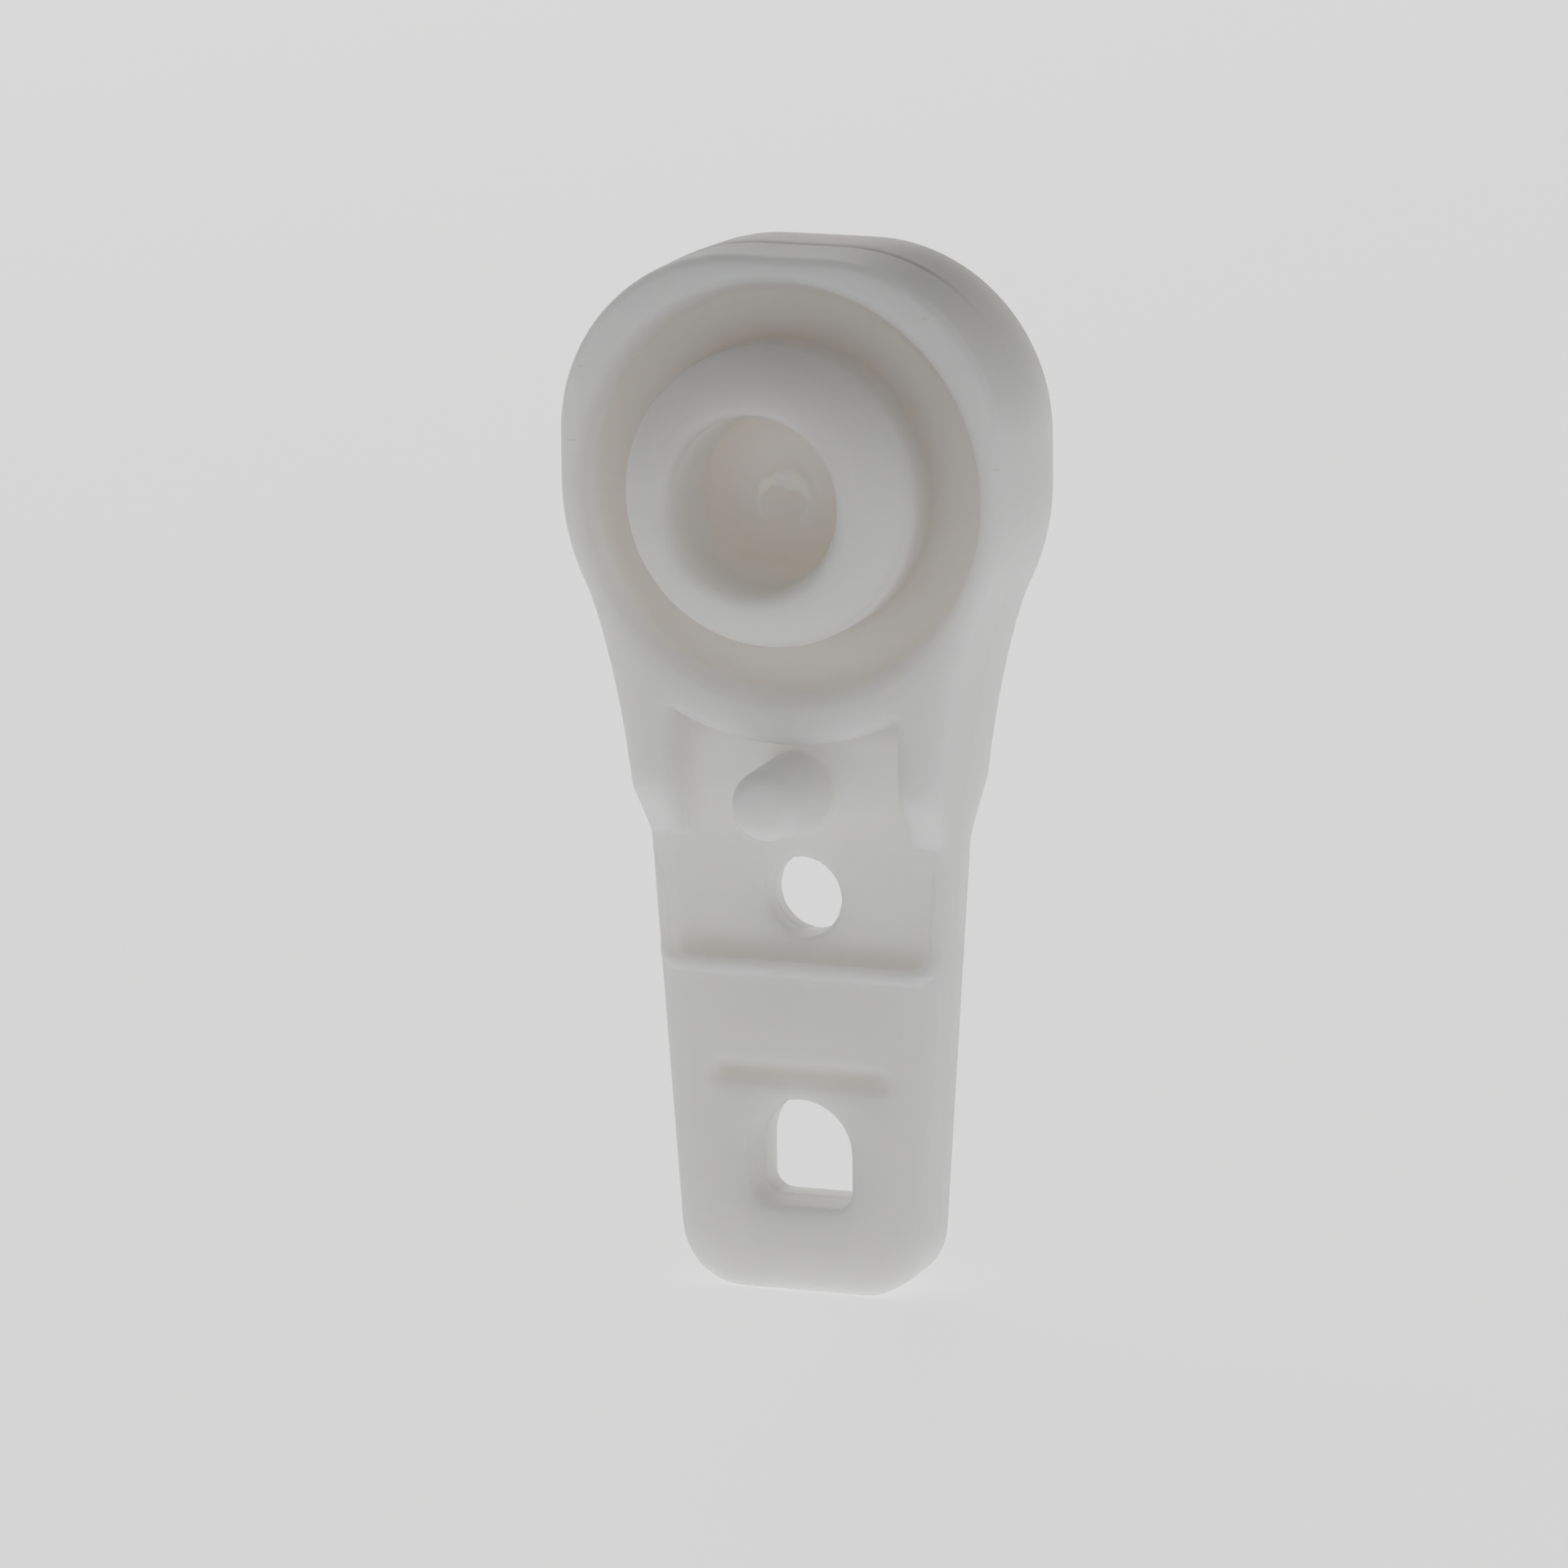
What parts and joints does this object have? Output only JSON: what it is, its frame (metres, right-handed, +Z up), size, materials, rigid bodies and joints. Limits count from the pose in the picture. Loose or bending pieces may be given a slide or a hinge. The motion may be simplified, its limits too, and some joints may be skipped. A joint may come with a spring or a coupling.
{
  "type": "curtain glider",
  "caption": "Moulded curtain track glider with a dished round head, a domed hub and a peg on each side, a cord hole and a hook eye in its slim tail.",
  "frame": {"origin": "on the hub's axis at mid-thickness, where the two halves of the mould meet", "axes": "+X along the track that the glider travels in, +Y along the hub's axis towards the back, +Z up, away from the hanging tail"},
  "size_m": [0.0142, 0.0096, 0.0321],
  "materials": {
    "white_plastic": "satin"
  },
  "bodies": {
    "root": {"glider_body": "white_plastic"}
  },
  "joints": []
}
